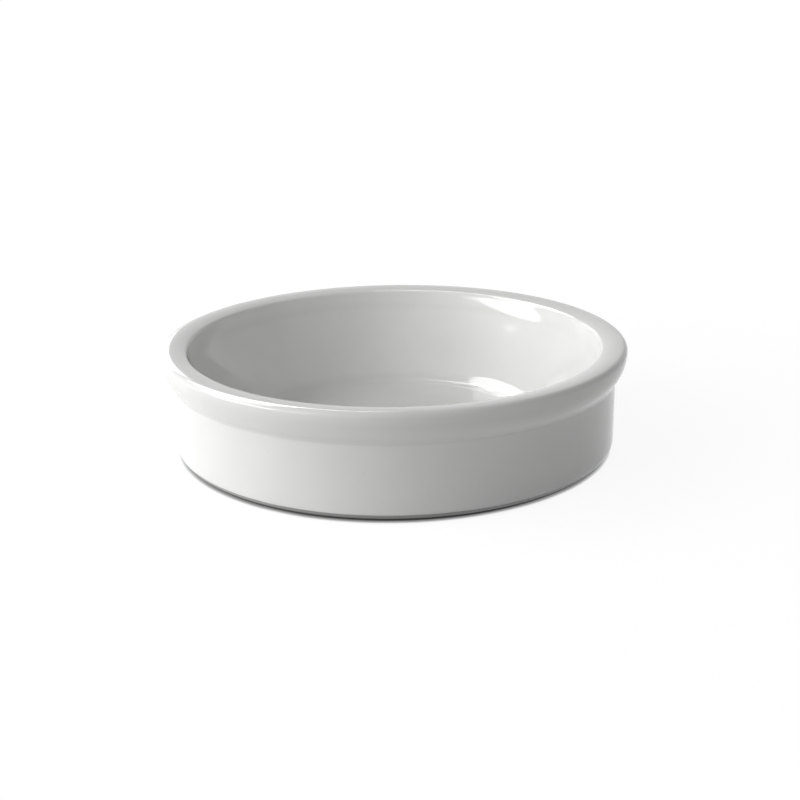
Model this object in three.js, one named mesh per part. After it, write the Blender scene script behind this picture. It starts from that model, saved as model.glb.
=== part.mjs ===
// A round, shallow creme brulee dish: a pressed porcelain body with a white glaze fused on it.
// Millimetres, +Z up. The origin is on the table, on the axis of the dish.
// Heights and radii are those of the finished, glazed surface unless a comment says otherwise.

import * as THREE from 'three';

// Overall
const RIM_DIAMETER = 130;        // across the widest part of the bead
const HEIGHT = 29.7;             // table to the top of the rim

// Rim: a bead that stands out from the wall, domed on top, with a steep band inside
const BEAD_OVERHANG = 3;         // how far the bead stands out from the wall
const BEAD_DROP = 8.2;           // widest part of the bead down to the foot of its underside
const BEAD_COVE = 0.6;           // hollow radius where the underside runs into the wall
const RIM_OUTER_ROUND = 0.8;     // radius of the rim's outer edge
const RIM_CROWN = 14;            // radius of the gently domed top
const CROWN_SETBACK = 1.9;       // widest part of the bead in to the highest line of the crown
const RIM_WIDTH = 6.5;           // widest part of the bead in to the inner edge of the crown
const RIM_INNER_ROUND = 1.2;     // radius of the rim's inner edge
const BAND_HEIGHT = 3.6;         // that edge down the steep band to the crease under it
const BAND_LEAN = 13;            // degrees that the band leans out towards the rim
const CREASE_ROUND = 1;          // hollow radius where the band runs into the inside wall

// Wall and floor
const INSIDE_DRAFT = 30;         // degrees that the inside wall leans out towards the rim
const FLOOR_THICKNESS = 2.2;
const FLOOR_FILLET = 6;          // hollow radius from the inside wall to the floor

// Base: a low bare ring that stands on the table, round a shallow glazed recess
const BASE_ROUND = 2.6;          // radius from the outside wall to the underside
const FOOT_HEIGHT = 0.5;         // bare clay between the table and the lines where the glaze stops
const FOOT_SETBACK = 0.5;        // bare ledge between the outer glaze line and the foot ring
const FOOT_WIDTH = 4;            // ring of clay that touches the table
const RECESS_RISE = 0.4;         // glaze line up to the ceiling of the recess, and its edge radius

// Glaze
const GLAZE_THICKNESS = 0.3;
const GLAZE_BOND = 0.02;         // between the glaze and the clay, so that the two solids stay apart

// Fineness
const FACET_ERROR = 0.08;        // most that a facet of an outline departs from its arc
const TURN_SEGMENTS = 64;        // facets round the axis

// Worked out from the sizes above
const BODY_DEPTH = GLAZE_THICKNESS + GLAZE_BOND;
const RIM_RADIUS = RIM_DIAMETER / 2;
const WALL_RADIUS = RIM_RADIUS - BEAD_OVERHANG;
const RECESS_CEILING = FOOT_HEIGHT + RECESS_RISE;
const FLOOR_HEIGHT = RECESS_CEILING + FLOOR_THICKNESS;
const BASE_ROUND_START = WALL_RADIUS - BASE_ROUND;
const FOOT_OUTER_RADIUS = BASE_ROUND_START - FOOT_SETBACK;
const FOOT_INNER_RADIUS = FOOT_OUTER_RADIUS - FOOT_WIDTH;
const RECESS_RADIUS = FOOT_INNER_RADIUS - BODY_DEPTH;

const { degToRad, radToDeg, lerp } = THREE.MathUtils;
const point = (radius, height) => new THREE.Vector2(radius, height);

// A point at a distance from another one, at an angle in degrees in the plane of the outline,
// where 0 points away from the axis and 90 points up.
function polar(centre, distance, angle) {
  const turn = degToRad(angle);
  return point(Math.cos(turn), Math.sin(turn)).multiplyScalar(distance).add(centre);
}

// Points along an arc, from one angle to another. growth is added to the finished radius.
// The facets are counted on the finished radius, so the layers of glaze and clay have the same ones.
function arc(centre, finishedRadius, growth, from, to) {
  const widestFacet = radToDeg(2 * Math.acos(1 - FACET_ERROR / finishedRadius));
  const facets = Math.ceil(Math.abs(to - from) / widestFacet);
  const points = [];
  for (let i = 0; i <= facets; i++) {
    points.push(polar(centre, finishedRadius + growth, lerp(from, to, i / facets)));
  }
  return points;
}

// The arcs over the rim run smoothly into each other, so the point where two of them meet lies
// on one line with both centres. Each meeting angle comes from how far that line runs outwards.
const crownCentre = point(RIM_RADIUS - CROWN_SETBACK, HEIGHT - RIM_CROWN);
const outerRun = (CROWN_SETBACK - RIM_OUTER_ROUND) / (RIM_CROWN - RIM_OUTER_ROUND);
const outerMeeting = radToDeg(Math.acos(outerRun));
const outerCentre = polar(crownCentre, RIM_CROWN - RIM_OUTER_ROUND, outerMeeting);
const innerRun = (CROWN_SETBACK - RIM_WIDTH) / RIM_CROWN;
const innerMeeting = radToDeg(Math.acos(innerRun));
const innerCentre = polar(crownCentre, RIM_CROWN - RIM_INNER_ROUND, innerMeeting);

// The rounded edge between the underside and the outside wall, going up.
function baseEdge(depth) {
  const centre = point(BASE_ROUND_START, FOOT_HEIGHT + BASE_ROUND);
  return arc(centre, BASE_ROUND, -depth, -90, 0);
}

// The bead's long underside, with the cove under it, going up to the widest part of the rim.
function beadUnderside(depth) {
  const radius = (BEAD_OVERHANG ** 2 + BEAD_DROP ** 2) / (2 * BEAD_OVERHANG);
  const centre = point(RIM_RADIUS - radius, outerCentre.y);
  const coveAcross = WALL_RADIUS + BEAD_COVE - centre.x;
  const coveDown = Math.sqrt((radius + BEAD_COVE) ** 2 - coveAcross ** 2);
  const coveCentre = point(centre.x + coveAcross, centre.y - coveDown);
  const meeting = radToDeg(Math.atan2(coveDown, coveAcross));
  const cove = arc(coveCentre, BEAD_COVE, depth, 180, 180 - meeting);
  const underside = arc(centre, radius, -depth, -meeting, 0);
  return [...cove, ...underside.slice(1)];
}

// The top of the rim, from its outer edge over the crown to the top of the band inside.
function rimTop(depth) {
  const outer = arc(outerCentre, RIM_OUTER_ROUND, -depth, 0, outerMeeting);
  const crown = arc(crownCentre, RIM_CROWN, -depth, outerMeeting, innerMeeting);
  const inner = arc(innerCentre, RIM_INNER_ROUND, -depth, innerMeeting, 180 - BAND_LEAN);
  return [...outer.slice(1), ...crown.slice(1), ...inner.slice(1)];
}

// The crease under the band: the centre of its hollow arc.
function creaseCentre() {
  const bandTop = polar(innerCentre, RIM_INNER_ROUND, 180 - BAND_LEAN);
  const bandRun = BAND_HEIGHT * Math.tan(degToRad(BAND_LEAN));
  const bandFoot = point(bandTop.x - bandRun, bandTop.y - BAND_HEIGHT);
  return polar(bandFoot, -CREASE_ROUND, -BAND_LEAN);
}

// The inside from the crease down the sloping wall and its fillet, and over the floor to the axis.
// The fillet is no taller than the wall above it.
function insideWallAndFloor(depth) {
  const draft = degToRad(INSIDE_DRAFT);
  const crease = arc(creaseCentre(), CREASE_ROUND, depth, -BAND_LEAN, -INSIDE_DRAFT);
  const wallTop = polar(creaseCentre(), CREASE_ROUND, -INSIDE_DRAFT);
  const room = (wallTop.y - FLOOR_HEIGHT) / (1 - Math.sin(draft));
  const radius = Math.min(FLOOR_FILLET, room);
  const wallFoot = FLOOR_HEIGHT + radius * (1 - Math.sin(draft));
  const wallFootRadius = wallTop.x - (wallTop.y - wallFoot) * Math.tan(draft);
  const centre = point(wallFootRadius - radius * Math.cos(draft), FLOOR_HEIGHT + radius);
  const fillet = arc(centre, radius, depth, -INSIDE_DRAFT, -90);
  return [...crease, ...fillet, point(0, FLOOR_HEIGHT - depth)];
}

// The surface that lies depth under the main coat of glaze, from the glaze line at the foot,
// up the outside, over the rim and down to the middle of the floor.
function dishOutline(depth) {
  return [...baseEdge(depth), ...beadUnderside(depth), ...rimTop(depth), ...insideWallAndFloor(depth)];
}

// The surface that lies depth above the glaze of the recess, from the axis out to the glaze line.
function recessOutline(depth) {
  const centre = point(RECESS_RADIUS - RECESS_RISE, FOOT_HEIGHT);
  return [point(0, RECESS_CEILING + depth), ...arc(centre, RECESS_RISE, depth, 90, 0)];
}

// The bare ring of clay that stands on the table, with the ledge outside it.
function footOutline() {
  return [
    point(FOOT_INNER_RADIUS, 0),
    point(FOOT_OUTER_RADIUS, 0),
    point(FOOT_OUTER_RADIUS, FOOT_HEIGHT + BODY_DEPTH),
  ];
}

// A solid of revolution. Its outline runs anticlockwise, seen with the axis on the left,
// and starts and ends on the axis.
function turnedPiece(name, outline, material) {
  const geometry = new THREE.LatheGeometry(outline, TURN_SEGMENTS);
  geometry.rotateX(Math.PI / 2);
  const piece = new THREE.Mesh(geometry, material);
  piece.name = name;
  return piece;
}

const biscuit = new THREE.MeshStandardMaterial({ color: 0xe8e3d8, roughness: 0.85, metalness: 0 });
const whiteGlaze = new THREE.MeshStandardMaterial({ color: 0xf2f2ef, roughness: 0.08, metalness: 0 });

// The fired clay: everything under the glaze, and the bare foot ring.
function porcelainBody() {
  const outline = [...recessOutline(BODY_DEPTH), ...footOutline(), ...dishOutline(BODY_DEPTH)];
  return turnedPiece('porcelain_body', outline, biscuit);
}

// The glaze over the outside, the rim and the inside, in one unbroken coat.
function glazeCoat() {
  const face = dishOutline(0);
  const back = dishOutline(GLAZE_THICKNESS).reverse();
  return turnedPiece('glaze_coat', [...back, ...face], whiteGlaze);
}

// The patch of glaze in the recess, which the bare foot ring cuts off from the main coat.
function undersideGlaze() {
  const face = recessOutline(0);
  const back = recessOutline(GLAZE_THICKNESS).reverse();
  return turnedPiece('underside_glaze', [...face, ...back], whiteGlaze);
}

const dish = new THREE.Group();
dish.add(porcelainBody(), glazeCoat(), undersideGlaze());

export default dish;
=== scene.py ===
"""A round creme brulee dish of white glazed porcelain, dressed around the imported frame."""
import math

import bpy
from mathutils import Matrix, Vector, noise


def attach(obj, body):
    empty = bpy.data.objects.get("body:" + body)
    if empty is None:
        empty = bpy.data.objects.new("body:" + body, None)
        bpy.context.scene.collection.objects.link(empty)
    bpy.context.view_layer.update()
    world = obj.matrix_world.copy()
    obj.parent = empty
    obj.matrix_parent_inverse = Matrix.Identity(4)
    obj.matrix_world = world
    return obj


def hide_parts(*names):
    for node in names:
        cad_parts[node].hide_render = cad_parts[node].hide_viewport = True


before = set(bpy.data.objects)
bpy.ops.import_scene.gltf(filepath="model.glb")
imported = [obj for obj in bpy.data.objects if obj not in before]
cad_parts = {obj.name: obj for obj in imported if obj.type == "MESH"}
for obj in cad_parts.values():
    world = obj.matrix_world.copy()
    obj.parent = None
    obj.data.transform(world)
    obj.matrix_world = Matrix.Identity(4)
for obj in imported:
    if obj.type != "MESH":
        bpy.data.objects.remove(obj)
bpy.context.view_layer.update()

MM = 0.001
ON_AXIS = 1e-9                # a ring of a smaller radius, in millimetres, is one point

# The dish, in millimetres. Its main sizes are those of the solids. The rim's outer edge, the
# bead's underside and the hollows are rounder than in the solids, as glaze rounds them off.
RIM_RADIUS = 65.0
HEIGHT = 29.65                # up to where the facets of the solids reach
BEAD_OVERHANG = 3.0
BEAD_DROP = 7.4               # widest part of the bead down to the foot of its underside
BEAD_COVE = 2.2               # softer than in the clay, because glaze gathers in the hollow
RIM_OUTER_ROUND = 1.5         # the glaze rounds the rim off more than the clay under it
RIM_CROWN = 14.0
CROWN_SETBACK = 2.3           # widest part of the bead in to the highest line of the crown
RIM_WIDTH = 6.5
RIM_INNER_ROUND = 1.2
BAND_HEIGHT = 0.75            # the straight part of the band, above the curve of the crease
BAND_LEAN = 13.0              # degrees
CREASE_ROUND = 20.0           # so soft that most of the band curves with it
INSIDE_DRAFT = 30.0           # degrees
FLOOR_THICKNESS = 2.2
FLOOR_FILLET = 6.0
BASE_ROUND = 2.6
FOOT_HEIGHT = 0.5
FOOT_SETBACK = 0.5
FOOT_WIDTH = 4.0
FOOT_EDGE = 0.18              # radius of the worn edges of the foot
RECESS_RISE = 0.4
GLAZE_THICKNESS = 0.3
GLAZE_BOND = 0.02

BODY_DEPTH = GLAZE_THICKNESS + GLAZE_BOND
WALL_RADIUS = RIM_RADIUS - BEAD_OVERHANG
RECESS_CEILING = FOOT_HEIGHT + RECESS_RISE
FLOOR_HEIGHT = RECESS_CEILING + FLOOR_THICKNESS
BASE_ROUND_START = WALL_RADIUS - BASE_ROUND
FOOT_OUTER_RADIUS = BASE_ROUND_START - FOOT_SETBACK
FOOT_INNER_RADIUS = FOOT_OUTER_RADIUS - FOOT_WIDTH
RECESS_RADIUS = FOOT_INNER_RADIUS - BODY_DEPTH

# Fineness: vertices in a ring, and rings along each stretch of the outline
TURN_SEGMENTS = 192
BASE_STEPS = 18
WALL_STEPS = 15
COVE_STEPS = 9
UNDERSIDE_STEPS = 24
OUTER_STEPS = 12
CROWN_STEPS = 18
INNER_STEPS = 12
BAND_STEPS = 2
CREASE_STEPS = 12
SLOPE_STEPS = 18
FILLET_STEPS = 18
FLOOR_STEPS = 24
RECESS_STEPS = 24
RECESS_EDGE_STEPS = 9
FOOT_EDGE_STEPS = 6
BACK_STEP = 3                 # a hidden surface has every third ring of the face over it

# The small unevenness of a fired dish, in millimetres
RIM_WARP = 0.14               # most that the rim is out of round, inwards
RIM_SAG = 0.10                # most that the rim dips
OVAL_WAVES = [(0.7, 2, 0.7), (0.3, 3, 2.1)]    # share, waves round the rim, phase
DIP_WAVES = [(0.6, 2, 2.6), (0.4, 5, 0.4)]
RIPPLE_DEPTH = 0.016          # depth of the waves in the face of the glaze
RIPPLE_LENGTH = 11.0
RIPPLE_LONG = 0.4             # share of the long waves, and of the short ones between them
RIPPLE_SHORT = 0.1
RIPPLE_RATIO = 2.7            # how many short waves go into a long one
WANDER_RADIUS = 1.6           # how fast a wandering line changes round the dish
WANDER_RATIO = 6.0            # how much finer its small waves are
WANDER_SMALL = 0.22           # and their share

# The lines on the base edge, in degrees up its rounding
LINE_LOWEST = 24.0            # at which the glaze stops where it runs lowest
LINE_WANDER = 10.0            # how much higher it stops elsewhere
LINE_SEED = 3.0
GREY_LOWEST = 68.0            # up to which painted shade greys the thin glaze at least
GREY_WANDER = 7.0             # how much higher the grey reaches elsewhere
GREY_SEED = 7.0
GREY_FADE = 4.0               # over which the grey fades out
LINE_TAPER = 0.2              # millimetres that the glaze thins out at its line
TAPER_SHARE = 0.12            # share of the glaze on the base edge over which it does
FACE_DEPTH = 0.1              # millimetres within which a surface counts as the face of the glaze
PAINTED_SHADE_HEIGHT = 2.0             # millimetres up to which painted shade greys the clay outside the foot

# Glaze that gathers, partly painted shade in the cove and under the bead: the share of its colour
# at most, and where along an arc that is
COVE_POOL_AND_SHADE = 0.7
# painted shade under the widest part of the bead, with a little gathered glaze
UNDERSIDE_POOL_AND_SHADE = 0.45
UNDERSIDE_POOL_AND_SHADE_AT = 0.7
CREASE_POOL = 0.4
FILLET_POOL = 0.5
RECESS_POOL = 0.6
POOL_AND_SHADE_SPREAD = 0.22            # share of the arc over which it fades


class Station:
    """A point of the outline, with the way out of the surface and how much gathered glaze and
    painted shade darken it there.
    """

    def __init__(self, radius, height, out_r, out_z, pool=0.0):
        self.radius = radius
        self.height = height
        self.out_r = out_r
        self.out_z = out_z
        self.pool = pool
        self.painted_shade = None

    def under(self, depth, angle):
        """Radius and height at that depth, which are the same at every angle."""
        return (self.radius - self.out_r * depth, self.height - self.out_z * depth)


class BaseStation:
    """A point of the glaze on the base edge, which begins at a line that wanders round the dish.
    The share is 0 at that line and 1 at the foot of the wall."""

    def __init__(self, share):
        self.share = share
        self.pool = 0.0

    def turn(self, angle):
        line = LINE_LOWEST + LINE_WANDER * wander(angle, LINE_SEED) - 90
        return line * (1 - self.share)

    # how dark the painted shade on the glaze is here: full below the grey's edge, none above it
    def painted_shade(self, angle):
        edge = GREY_LOWEST + GREY_WANDER * wander(angle, GREY_SEED) - 90
        return min(1.0, max(0.0, (edge - self.turn(angle)) / GREY_FADE + 0.5))

    def under(self, depth, angle):
        """Radius and height at that depth. The face of the glaze sinks towards the line."""
        turn = math.radians(self.turn(angle))
        sunk = depth
        if depth <= FACE_DEPTH:
            sunk += LINE_TAPER * max(0.0, 1 - self.share / TAPER_SHARE) ** 2
        reach = BASE_ROUND - sunk
        return (BASE_ROUND_START + reach * math.cos(turn),
                FOOT_HEIGHT + BASE_ROUND + reach * math.sin(turn))


def arc(centre, radius, start, end, steps, hollow=False, pool=0.0, pool_and_shade_at=0.5):
    """Stations along an arc. The gathered glaze, partly painted shade, is most at the given share
    of the way along it.
    """
    side = -1.0 if hollow else 1.0
    stations = []
    for i in range(steps + 1):
        share = i / steps
        angle = math.radians(start + (end - start) * share)
        r, z = math.cos(angle), math.sin(angle)
        # how much gathered glaze and painted shade darken the colour here
        gathered_and_shaded = pool * math.exp(-((share - pool_and_shade_at) / POOL_AND_SHADE_SPREAD) ** 2)
        stations.append(Station(centre[0] + radius * r, centre[1] + radius * z,
                                side * r, side * z, gathered_and_shaded))
    return stations


def straight(a, b, steps):
    """Stations between two others, without the two themselves."""
    stations = []
    for i in range(1, steps):
        share = i / steps
        radius = a.radius + (b.radius - a.radius) * share
        height = a.height + (b.height - a.height) * share
        stations.append(Station(radius, height, b.out_r, b.out_z))
    return stations


def polar(centre, distance, angle):
    turn = math.radians(angle)
    return (centre[0] + distance * math.cos(turn), centre[1] + distance * math.sin(turn))


# The arcs over the rim: their centres, and the angles at which one runs into the next
CROWN_CENTRE = (RIM_RADIUS - CROWN_SETBACK, HEIGHT - RIM_CROWN)
OUTER_RUN = (CROWN_SETBACK - RIM_OUTER_ROUND) / (RIM_CROWN - RIM_OUTER_ROUND)
OUTER_MEETING = math.degrees(math.acos(OUTER_RUN))
OUTER_CENTRE = polar(CROWN_CENTRE, RIM_CROWN - RIM_OUTER_ROUND, OUTER_MEETING)
INNER_MEETING = math.degrees(math.acos((CROWN_SETBACK - RIM_WIDTH) / RIM_CROWN))
INNER_CENTRE = polar(CROWN_CENTRE, RIM_CROWN - RIM_INNER_ROUND, INNER_MEETING)


def outside_stations():
    """From the foot up the outside wall and the bead's underside to its widest part."""
    base_centre = (BASE_ROUND_START, FOOT_HEIGHT + BASE_ROUND)
    base = arc(base_centre, BASE_ROUND, -90, 0, BASE_STEPS)
    sweep = (BEAD_OVERHANG ** 2 + BEAD_DROP ** 2) / (2 * BEAD_OVERHANG)
    centre = (RIM_RADIUS - sweep, OUTER_CENTRE[1])
    across = WALL_RADIUS + BEAD_COVE - centre[0]
    down = math.sqrt((sweep + BEAD_COVE) ** 2 - across ** 2)
    meeting = math.degrees(math.atan2(down, across))
    cove_centre = (centre[0] + across, centre[1] - down)
    # the cove under the bead: gathered glaze with painted shade
    cove = arc(cove_centre, BEAD_COVE, 180, 180 - meeting, COVE_STEPS, hollow=True, pool=COVE_POOL_AND_SHADE)
    underside = arc(centre, sweep, -meeting, 0, UNDERSIDE_STEPS,
                    pool=UNDERSIDE_POOL_AND_SHADE, pool_and_shade_at=UNDERSIDE_POOL_AND_SHADE_AT)
    return base + straight(base[-1], cove[0], WALL_STEPS) + cove + underside[1:]


def rim_stations():
    """Over the top of the rim, from its widest part to the top of the band inside."""
    outer = arc(OUTER_CENTRE, RIM_OUTER_ROUND, 0, OUTER_MEETING, OUTER_STEPS)
    crown = arc(CROWN_CENTRE, RIM_CROWN, OUTER_MEETING, INNER_MEETING, CROWN_STEPS)
    inner = arc(INNER_CENTRE, RIM_INNER_ROUND, INNER_MEETING, 180 - BAND_LEAN, INNER_STEPS)
    return outer[1:] + crown[1:] + inner[1:]


def inside_stations(band_top):
    """Down the band, the crease under it, the sloping wall and its fillet, and over the floor."""
    lean, draft = math.radians(BAND_LEAN), math.radians(INSIDE_DRAFT)
    band_foot = (band_top.radius - BAND_HEIGHT * math.tan(lean), band_top.height - BAND_HEIGHT)
    crease_centre = polar(band_foot, -CREASE_ROUND, -BAND_LEAN)
    crease = arc(crease_centre, CREASE_ROUND, -BAND_LEAN, -INSIDE_DRAFT, CREASE_STEPS,
                 hollow=True, pool=CREASE_POOL)
    foot = FLOOR_HEIGHT + FLOOR_FILLET * (1 - math.sin(draft))
    foot_radius = crease[-1].radius - (crease[-1].height - foot) * math.tan(draft)
    fillet_centre = (foot_radius - FLOOR_FILLET * math.cos(draft), FLOOR_HEIGHT + FLOOR_FILLET)
    fillet = arc(fillet_centre, FLOOR_FILLET, -INSIDE_DRAFT, -90, FILLET_STEPS,
                 hollow=True, pool=FILLET_POOL)
    middle = Station(0, FLOOR_HEIGHT, 0, 1)
    return (straight(band_top, crease[0], BAND_STEPS) + crease
            + straight(crease[-1], fillet[0], SLOPE_STEPS) + fillet
            + straight(fillet[-1], middle, FLOOR_STEPS) + [middle])


def dish_stations():
    """From under the base edge, over the outside, rim and inside, to the middle of the floor."""
    stations = outside_stations() + rim_stations()
    return stations + inside_stations(stations[-1])


def coat_stations():
    """The face of the main coat: the same, but on the base edge only from the glaze line up."""
    base = [BaseStation(i / BASE_STEPS) for i in range(BASE_STEPS + 1)]
    return base + dish_stations()[BASE_STEPS + 1:]


def recess_stations():
    """The face of the patch under the floor, from the axis out to the glaze line at the foot."""
    edge = arc((RECESS_RADIUS - RECESS_RISE, FOOT_HEIGHT), RECESS_RISE, 90, 0, RECESS_EDGE_STEPS,
               hollow=True, pool=RECESS_POOL)
    middle = Station(0, RECESS_CEILING, 0, -1)
    return [middle] + straight(middle, edge[0], RECESS_STEPS) + edge


def hidden(stations):
    """The stations of a hidden surface: every third one, and the last."""
    kept = stations[::BACK_STEP]
    return kept if kept[-1] is stations[-1] else kept + [stations[-1]]


def swell(waves, angle):
    """From 0 to 1 over waves that run round the dish."""
    return sum(share * (1 + math.sin(count * angle + phase)) / 2 for share, count, phase in waves)


def warp(radius, height, angle):
    """The dish as it comes out of the kiln: out of round and uneven in height towards the rim."""
    rise = (height / HEIGHT) ** 2
    return (radius - RIM_WARP * rise * swell(OVAL_WAVES, angle),
            height - RIM_SAG * rise * swell(DIP_WAVES, angle))


def ripple(x, y, z):
    """From 0 to 1 over the waves of the glaze."""
    at = Vector((x, y, z)) / RIPPLE_LENGTH
    return 0.5 + RIPPLE_LONG * noise.noise(at) + RIPPLE_SHORT * noise.noise(at * RIPPLE_RATIO)


def wander(angle, seed):
    """From 0 to 1 round the dish, smoothly and back to where it began."""
    at = Vector((WANDER_RADIUS * math.cos(angle), WANDER_RADIUS * math.sin(angle), seed))
    slow = 0.5 + 0.5 * noise.noise(at)
    quick = noise.noise(at * WANDER_RATIO)
    return min(1.0, max(0.0, slow + WANDER_SMALL * quick))


class Turning:
    """A solid of revolution in the making: rings of vertices, each a function of the angle."""

    def __init__(self, name):
        self.name = name
        self.points = []
        self.pools_and_shade = []
        self.painted_shade = []
        self.faces = []
        self.last = None

    def ring(self, place, pool=0.0, painted_shade=None):
        """place(angle) gives radius and height; the last argument, a function of the angle, gives
        how dark the painted shade is there.
        A ring on the axis is one vertex."""
        first = len(self.points)
        on_axis = place(0.0)[0] < ON_AXIS
        count = 1 if on_axis else TURN_SEGMENTS
        for i in range(count):
            angle = 2 * math.pi * i / TURN_SEGMENTS
            radius, height = place(angle)
            radius, height = (0.0, height) if on_axis else warp(radius, height, angle)
            x, y = radius * math.cos(angle), radius * math.sin(angle)
            self.points.append((x * MM, y * MM, height * MM))
            self.pools_and_shade.append(pool)
            self.painted_shade.append(painted_shade(angle) if painted_shade else 0.0)
        new = (first, count)
        if self.last is not None:
            self.join(self.last, new)
        self.last = new

    def join(self, a, b):
        """Faces between two rings, each given by its first vertex and its number of them."""
        for i in range(TURN_SEGMENTS):
            j = (i + 1) % TURN_SEGMENTS
            corners = [a[0] + i % a[1], a[0] + j % a[1], b[0] + j % b[1], b[0] + i % b[1]]
            self.faces.append(list(dict.fromkeys(corners)))

    def piece(self, material, slot, node):
        mesh = bpy.data.meshes.new(self.name)
        mesh.from_pydata(self.points, [], self.faces)
        mesh.validate()
        for name, values in (("pool", self.pools_and_shade), ("painted_shade", self.painted_shade)):
            layer = mesh.attributes.new(name, "FLOAT", "POINT")
            layer.data.foreach_set("value", values)
        mesh.polygons.foreach_set("use_smooth", [True] * len(mesh.polygons))
        mesh.materials.append(material)
        mesh.update()
        piece = bpy.data.objects.new(self.name, mesh)
        bpy.context.scene.collection.objects.link(piece)
        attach(piece, "root")
        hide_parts(node)


def on(station, depth=0.0):
    """A ring's place at that depth under the station."""
    return lambda angle: station.under(depth, angle)


def on_face(station):
    """A ring's place on the face of the glaze, with its waves."""
    def place(angle):
        r, z = station.under(0.0, angle)
        sunk = RIPPLE_DEPTH * ripple(r * math.cos(angle), r * math.sin(angle), z)
        return station.under(sunk, angle)
    return place


def all_round(share):
    """The same painted shade at every angle."""
    return lambda angle: share


def glaze_coat(material):
    """The main coat: its face, and the hidden back that lies on the clay."""
    stations = coat_stations()
    coat = Turning("dish_glaze")
    for station in reversed(hidden(stations)):
        coat.ring(on(station, GLAZE_THICKNESS), station.pool)
    for station in stations:
        coat.ring(on_face(station), station.pool, station.painted_shade)
    coat.piece(material, "white_glaze", "glaze_coat")


def underside_glaze(material):
    """The patch of glaze inside the foot ring."""
    stations = recess_stations()
    patch = Turning("dish_underside_glaze")
    for station in stations:
        patch.ring(on_face(station), station.pool)
    for station in reversed(hidden(stations)):
        patch.ring(on(station, GLAZE_THICKNESS))
    patch.piece(material, "white_glaze", "underside_glaze")


def clay_body(material):
    """The fired clay under the glaze, with the bare ring that it stands on."""
    body = Turning("dish_clay")
    for station in hidden(recess_stations()):
        body.ring(on(station, BODY_DEPTH))
    foot_edges = [(FOOT_INNER_RADIUS + FOOT_EDGE, 180, 270),
                  (FOOT_OUTER_RADIUS - FOOT_EDGE, 270, 360)]
    for centre, start, end in foot_edges:
        for station in arc((centre, FOOT_EDGE), FOOT_EDGE, start, end, FOOT_EDGE_STEPS):
            body.ring(on(station))
    ledge = Station(FOOT_OUTER_RADIUS, FOOT_HEIGHT + BODY_DEPTH, 0, -1)
    # painted shade on the clay just outside the foot
    body.ring(on(ledge), painted_shade=all_round(1.0))
    for station in hidden(dish_stations()):
        # painted shade on the clay low on the base edge
        shaded = 1.0 if station.height < PAINTED_SHADE_HEIGHT else 0.0
        body.ring(on(station, BODY_DEPTH), painted_shade=all_round(shaded))
    body.piece(material, "biscuit_porcelain", "porcelain_body")


# Glaze. A pattern has a scale per metre and a detail.
GLAZE_WHITE = (0.86, 0.86, 0.85)
GLAZE_CLOUD = (0.83, 0.835, 0.825)
# duller glaze where it gathers, also painted shade in the cove and under the bead
GLAZE_POOLED_AND_SHADED = (0.775, 0.775, 0.74)
# painted shade: grey on the glaze low on the base edge
GLAZE_PAINTED_SHADE = (0.34, 0.34, 0.335)
GLAZE_SPECK = (0.72, 0.70, 0.66)
GLAZE_IOR = 1.5
GLAZE_ROUGHNESS = (0.05, 0.11)
CLOUDS = (45.0, 2.0)
BLUR = (160.0, 4.0)
PEEL = (420.0, 1.0)                # the faint orange peel of the face
SPECK_SCALE = 95.0
SPECK_EDGE = (0.010, 0.020)        # share of a cell at which a speck begins to fade, and is gone
PEEL_STRENGTH = 0.12
PEEL_DEPTH = 0.00008

# Bare clay
CLAY_LIGHT = (0.80, 0.775, 0.725)
CLAY_DARK = (0.70, 0.67, 0.61)
CLAY_MARK = (0.50, 0.48, 0.45)
CLAY_PAINTED_SHADE = (0.22, 0.215, 0.205)   # painted shade: grey on the bare clay low on the base edge and just outside the foot
CLAY_ROUGHNESS = (0.72, 0.92)
GRAIN = (2600.0, 3.0)
GRAIN_STRENGTH = 0.5
GRAIN_DEPTH = 0.0001
MARKS = (210.0, 5.0)
MARK_EDGE = (0.60, 0.78)           # levels of the pattern between which a mark comes in
MARK_MOST = 0.7

# Levels between which most of a noise pattern lies
NOISE_NARROW = (0.35, 0.65)
NOISE_WIDE = (0.3, 0.7)


def new_material(name):
    material = bpy.data.materials.new(name)
    material.use_nodes = True
    nodes = material.node_tree.nodes
    return material, nodes, material.node_tree.links, nodes["Principled BSDF"]


def noise_node(nodes, links, where, scale, detail):
    node = nodes.new("ShaderNodeTexNoise")
    node.inputs["Scale"].default_value = scale
    node.inputs["Detail"].default_value = detail
    links.new(where, node.inputs["Vector"])
    return node.outputs["Fac"]


def attribute(nodes, name):
    node = nodes.new("ShaderNodeAttribute")
    node.attribute_name = name
    return node.outputs["Fac"]


def span(nodes, links, value, old, new):
    """The value, carried over from the old pair of limits to the new pair."""
    node = nodes.new("ShaderNodeMapRange")
    for name, number in zip(("From Min", "From Max", "To Min", "To Max"), (*old, *new)):
        node.inputs[name].default_value = number
    links.new(value, node.inputs["Value"])
    return node.outputs["Result"]


def mixed(nodes, links, share, a, b):
    """A mix of two colours, each a fixed one or the result of another node."""
    node = nodes.new("ShaderNodeMix")
    node.data_type = "RGBA"
    links.new(share, node.inputs["Factor"])
    for socket, colour in ((node.inputs["A"], a), (node.inputs["B"], b)):
        if isinstance(colour, tuple):
            socket.default_value = (*colour, 1.0)
        else:
            links.new(colour, socket)
    return node.outputs["Result"]


def maths(nodes, links, operation, a, b):
    """An operation on a result and on another one or a fixed number."""
    node = nodes.new("ShaderNodeMath")
    node.operation = operation
    links.new(a, node.inputs[0])
    if isinstance(b, float):
        node.inputs[1].default_value = b
    else:
        links.new(b, node.inputs[1])
    return node.outputs[0]


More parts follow.
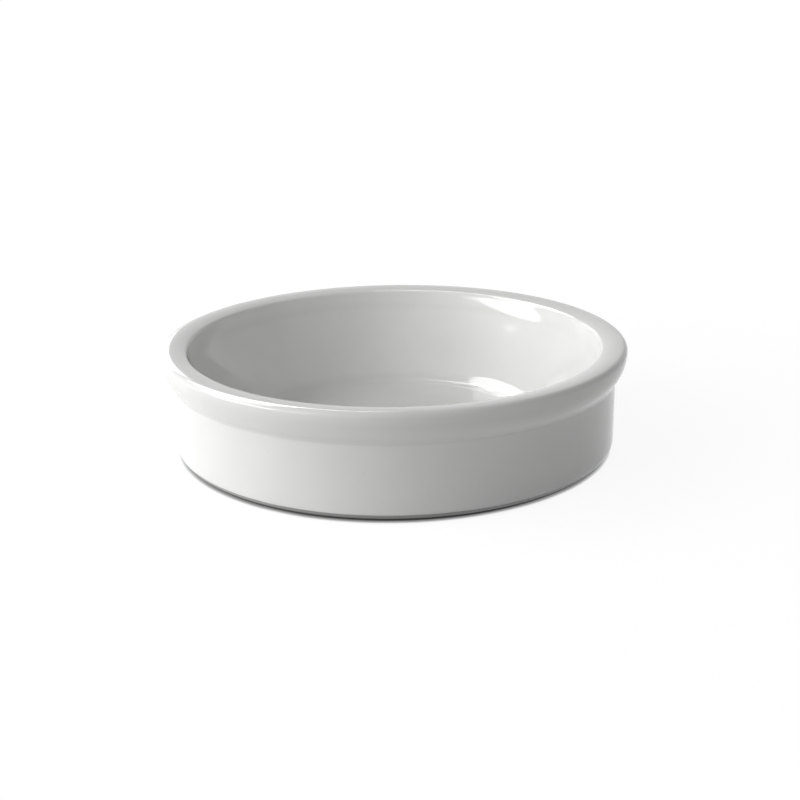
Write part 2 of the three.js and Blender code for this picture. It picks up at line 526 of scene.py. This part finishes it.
def add_bump(nodes, links, shader, height, strength, depth):
    bump = nodes.new("ShaderNodeBump")
    bump.inputs["Strength"].default_value = strength
    bump.inputs["Distance"].default_value = depth
    links.new(height, bump.inputs["Height"])
    links.new(bump.outputs["Normal"], shader.inputs["Normal"])


def glaze_colour(nodes, links, where):
    """White with faint clouds and a few specks, duller where glaze gathers and where painted shade
    falls in the cove and under the bead, grey with painted shade low on the base edge.
    """
    clouds = noise_node(nodes, links, where, *CLOUDS)
    cloud = span(nodes, links, clouds, NOISE_NARROW, (0, 1))
    colour = mixed(nodes, links, cloud, GLAZE_WHITE, GLAZE_CLOUD)
    # gathered glaze, with painted shade in the cove and under the bead
    colour = mixed(nodes, links, attribute(nodes, "pool"), colour, GLAZE_POOLED_AND_SHADED)
    # painted shade: grey low on the base edge
    colour = mixed(nodes, links, attribute(nodes, "painted_shade"), colour, GLAZE_PAINTED_SHADE)
    cells = nodes.new("ShaderNodeTexVoronoi")
    cells.inputs["Scale"].default_value = SPECK_SCALE
    links.new(where, cells.inputs["Vector"])
    speck = span(nodes, links, cells.outputs["Distance"], SPECK_EDGE, (1, 0))
    return mixed(nodes, links, speck, colour, GLAZE_SPECK)


def glaze_material():
    material, nodes, links, shader = new_material("white_glaze_gloss")
    where = nodes.new("ShaderNodeTexCoord").outputs["Object"]
    links.new(glaze_colour(nodes, links, where), shader.inputs["Base Color"])
    blur = noise_node(nodes, links, where, *BLUR)
    links.new(span(nodes, links, blur, NOISE_WIDE, GLAZE_ROUGHNESS), shader.inputs["Roughness"])
    peel = noise_node(nodes, links, where, *PEEL)
    add_bump(nodes, links, shader, peel, PEEL_STRENGTH, PEEL_DEPTH)
    shader.inputs["IOR"].default_value = GLAZE_IOR
    return material


def clay_material():
    material, nodes, links, shader = new_material("biscuit_porcelain_bare")
    where = nodes.new("ShaderNodeTexCoord").outputs["Object"]
    grain = noise_node(nodes, links, where, *GRAIN)
    dark = span(nodes, links, grain, NOISE_NARROW, (0, 1))
    colour = mixed(nodes, links, dark, CLAY_LIGHT, CLAY_DARK)
    marks = noise_node(nodes, links, where, *MARKS)
    marked = span(nodes, links, marks, MARK_EDGE, (0, MARK_MOST))
    colour = mixed(nodes, links, marked, colour, CLAY_MARK)
    # painted shade: grey low on the base edge and just outside the foot
    colour = mixed(nodes, links, attribute(nodes, "painted_shade"), colour, CLAY_PAINTED_SHADE)
    links.new(colour, shader.inputs["Base Color"])
    links.new(span(nodes, links, grain, NOISE_WIDE, CLAY_ROUGHNESS), shader.inputs["Roughness"])
    add_bump(nodes, links, shader, grain, GRAIN_STRENGTH, GRAIN_DEPTH)
    return material


# Camera, from the photograph's perspective: pixels of an 800 x 800 image
IMAGE_SIZE = 800
FOCAL_PIXELS = 1250.0
SENSOR_MM = 36.0
NEAREST_SEEN = 0.01                    # metres
CAMERA_PITCH = 18.607                  # degrees below the horizon
CAMERA_ROLL = -0.713
AXIS_POINT = Vector((0, 0, 15.0))      # the point of the dish, in mm, that lies on AXIS_PIXEL
AXIS_PIXEL = (394.57, 386.52)
PIXELS_PER_MM = 3.507                  # at that point


def make_camera():
    pitch, roll = math.radians(CAMERA_PITCH), math.radians(CAMERA_ROLL)
    forward = Vector((0, math.cos(pitch), -math.sin(pitch)))
    right = Vector((1, 0, 0))
    down = -right.cross(forward)
    turned_right = right * math.cos(roll) - down * math.sin(roll)
    turned_down = right * math.sin(roll) + down * math.cos(roll)
    distance = FOCAL_PIXELS / PIXELS_PER_MM
    across = (AXIS_PIXEL[0] - IMAGE_SIZE / 2) / FOCAL_PIXELS * distance
    below = (AXIS_PIXEL[1] - IMAGE_SIZE / 2) / FOCAL_PIXELS * distance
    place = AXIS_POINT - turned_right * across - turned_down * below - forward * distance
    data = bpy.data.cameras.new("camera")
    data.sensor_width = SENSOR_MM
    data.lens = FOCAL_PIXELS * SENSOR_MM / IMAGE_SIZE
    data.clip_start = NEAREST_SEEN
    camera = bpy.data.objects.new("camera", data)
    axes = Matrix((turned_right, -turned_down, -forward)).transposed()
    camera.matrix_world = Matrix.Translation(place * MM) @ axes.to_4x4()
    bpy.context.scene.collection.objects.link(camera)
    bpy.context.scene.camera = camera


# Lamps that show as reflections in the glaze, and lamps that only light the dish. Each has a name,
# azimuth, elevation and distance, width and height, radiance, and roll. Metres and degrees.
MIRRORED_LAMPS = [
    ("bright_low", -77, 13, 0.9, 0.78, 0.32, 6.0, -8),
    ("tail_low", -50, 7, 0.9, 0.48, 0.16, 4.0, 0),
    ("bright_high", -122, 47, 1.0, 1.25, 0.56, 7.0, 0),
    ("tail_high", -164, 50, 1.0, 0.40, 0.34, 5.5, 0),
    ("bright_back", -154, 17, 1.0, 0.40, 0.30, 2.5, 0),
]
LIGHTING_LAMPS = [
    ("key_low", -75, 7, 0.9, 0.75, 0.20, 3.6, 0),
    ("left_low", -90, 11, 1.2, 0.9, 0.40, 2.0, 0),
    ("left_mid", -88, 23, 1.2, 0.9, 0.40, 2.1, 0),
    ("left_high", -85, 36, 1.2, 0.9, 0.45, 3.1, 0),
    ("left_floor", -100, 0, 0.4, 0.4, 0.03, 6.0, 0),
    ("front_left", -50, 22, 1.2, 0.6, 0.70, 2.3, 0),
    ("top_left", -75, 64, 1.2, 0.8, 0.50, 1.0, 0),
    ("top_back_left", -125, 47, 1.0, 0.98, 0.46, 1.1, 0),
    ("back_left", -155, 14, 1.2, 0.9, 0.50, 0.6, 0),
    ("back_low", 180, 10, 1.2, 0.9, 0.30, 4.0, 0),
    ("right", 95, 10, 1.0, 0.6, 0.30, 0.8, 0),
    ("front_right", 40, 15, 1.2, 0.6, 0.50, 0.6, 0),
    ("front", 0, 30, 1.2, 0.6, 0.50, 1.0, 0),
]


def softbox(name, azimuth, elevation, distance, width, height, radiance, roll, mirrored):
    """A soft oval lamp that looks at the dish. Azimuth 0 is the camera's side, -90 its left.
    Roll turns its left end, as the dish sees it, upwards."""
    data = bpy.data.lights.new(name, "AREA")
    data.shape = "ELLIPSE"
    data.size = width
    data.size_y = height
    data.energy = radiance * math.pi * (math.pi / 4 * width * height)
    lamp = bpy.data.objects.new(name, data)
    a, e = math.radians(azimuth), math.radians(elevation)
    away = Vector((math.sin(a) * math.cos(e), -math.cos(a) * math.cos(e), math.sin(e)))
    lamp.location = AXIS_POINT * MM + away * distance
    facing = away.to_track_quat("Z", "Y").to_matrix()
    lamp.rotation_euler = (facing @ Matrix.Rotation(math.radians(roll), 3, "Z")).to_euler()
    lamp.visible_camera = False
    lamp.visible_glossy = mirrored
    lamp.visible_diffuse = not mirrored
    bpy.context.scene.collection.objects.link(lamp)


# World and floor
WHITE = (1, 1, 1, 1)
WORLD_LEVEL = 0.1              # the surround as the dish is lit by it
FLOOR_HALF = 30.0
FLOOR_GREY = 0.72              # the floor as the lamps see it
FLOOR_SEEN = 0.16              # the share of it that the camera sees, with the dish's shadow
FLOOR_WHITE = 0.91             # the white that the camera sees besides, near the dish
FLOOR_FADE = (0.15, 0.6)       # metres from the dish over which that white becomes a full one
CONTACT_SHADOW = 0.0012        # metres under the dish's edge within which that white darkens
CONTACT_POWER = 3.0            # how fast it does
CONTACT_GLOOM = 0.005          # metres within which painted shade darkens the floor, which sends less light back up
SHADOW_RAYS = 16
GLOOM_RAYS = 8


def seen_by_camera(nodes, links):
    """1 for rays that come from the camera, straight or by a mirror-like surface or glass."""
    path = nodes.new("ShaderNodeLightPath")
    total = path.outputs["Is Camera Ray"]
    for name in ("Is Glossy Ray", "Is Transmission Ray"):
        total = maths(nodes, links, "MAXIMUM", total, path.outputs[name])
    return total


def choose_for_camera(nodes, links, otherwise, seen, surface):
    """One shader for what the camera sees, and another one for all other rays."""
    choice = nodes.new("ShaderNodeMixShader")
    links.new(seen_by_camera(nodes, links), choice.inputs["Fac"])
    links.new(otherwise, choice.inputs[1])
    links.new(seen, choice.inputs[2])
    links.new(choice.outputs[0], surface)


def make_world():
    world = bpy.data.worlds.new("studio")
    world.use_nodes = True
    bpy.context.scene.world = world
    nodes, links = world.node_tree.nodes, world.node_tree.links
    dim = nodes["Background"]
    dim.inputs["Color"].default_value = WHITE
    dim.inputs["Strength"].default_value = WORLD_LEVEL
    white = nodes.new("ShaderNodeBackground")
    white.inputs["Color"].default_value = WHITE
    white.inputs["Strength"].default_value = 1.0
    choose_for_camera(nodes, links, dim.outputs[0], white.outputs[0],
                      nodes["World Output"].inputs["Surface"])


def occlusion(nodes, reach, rays):
    node = nodes.new("ShaderNodeAmbientOcclusion")
    node.samples = rays
    node.inputs["Distance"].default_value = reach
    return node


def lit_floor(nodes, links):
    """The floor as light meets it: pale grey, with painted shade that makes it darker close to the
    dish.
    """
    gloom = occlusion(nodes, CONTACT_GLOOM, GLOOM_RAYS)
    gloom.inputs["Color"].default_value = (FLOOR_GREY, FLOOR_GREY, FLOOR_GREY, 1)
    lit = nodes.new("ShaderNodeBsdfDiffuse")
    links.new(gloom.outputs["Color"], lit.inputs["Color"])
    return lit.outputs[0]


def seen_floor(nodes, links):
    """The floor as the camera sees it: white, with the dish's shadow, darkest along its edge."""
    near = occlusion(nodes, CONTACT_SHADOW, SHADOW_RAYS)
    edge = maths(nodes, links, "POWER", near.outputs["AO"], CONTACT_POWER)
    where = nodes.new("ShaderNodeTexCoord").outputs["Object"]
    away = nodes.new("ShaderNodeVectorMath")
    away.operation = "LENGTH"
    links.new(where, away.inputs[0])
    spread = span(nodes, links, away.outputs["Value"], FLOOR_FADE, (FLOOR_WHITE, 1))
    white = nodes.new("ShaderNodeEmission")
    links.new(maths(nodes, links, "MULTIPLY", edge, spread), white.inputs["Strength"])
    dim = nodes.new("ShaderNodeBsdfDiffuse")
    dim.inputs["Color"].default_value = (FLOOR_SEEN, FLOOR_SEEN, FLOOR_SEEN, 1)
    both = nodes.new("ShaderNodeAddShader")
    links.new(dim.outputs[0], both.inputs[0])
    links.new(white.outputs[0], both.inputs[1])
    return both.outputs[0]


def make_floor():
    mesh = bpy.data.meshes.new("floor")
    corners = [(-FLOOR_HALF, -FLOOR_HALF, 0), (FLOOR_HALF, -FLOOR_HALF, 0),
               (FLOOR_HALF, FLOOR_HALF, 0), (-FLOOR_HALF, FLOOR_HALF, 0)]
    mesh.from_pydata(corners, [], [(0, 1, 2, 3)])
    floor = bpy.data.objects.new("floor", mesh)
    bpy.context.scene.collection.objects.link(floor)
    material, nodes, links, shader = new_material("studio_floor")
    nodes.remove(shader)
    choose_for_camera(nodes, links, lit_floor(nodes, links), seen_floor(nodes, links),
                      nodes["Material Output"].inputs["Surface"])
    mesh.materials.append(material)


glaze = glaze_material()
clay_body(clay_material())
glaze_coat(glaze)
underside_glaze(glaze)

make_camera()
for lamp in MIRRORED_LAMPS:
    softbox(*lamp, mirrored=True)
for lamp in LIGHTING_LAMPS:
    softbox(*lamp, mirrored=False)
make_world()
make_floor()

bpy.context.scene.view_settings.view_transform = "Standard"
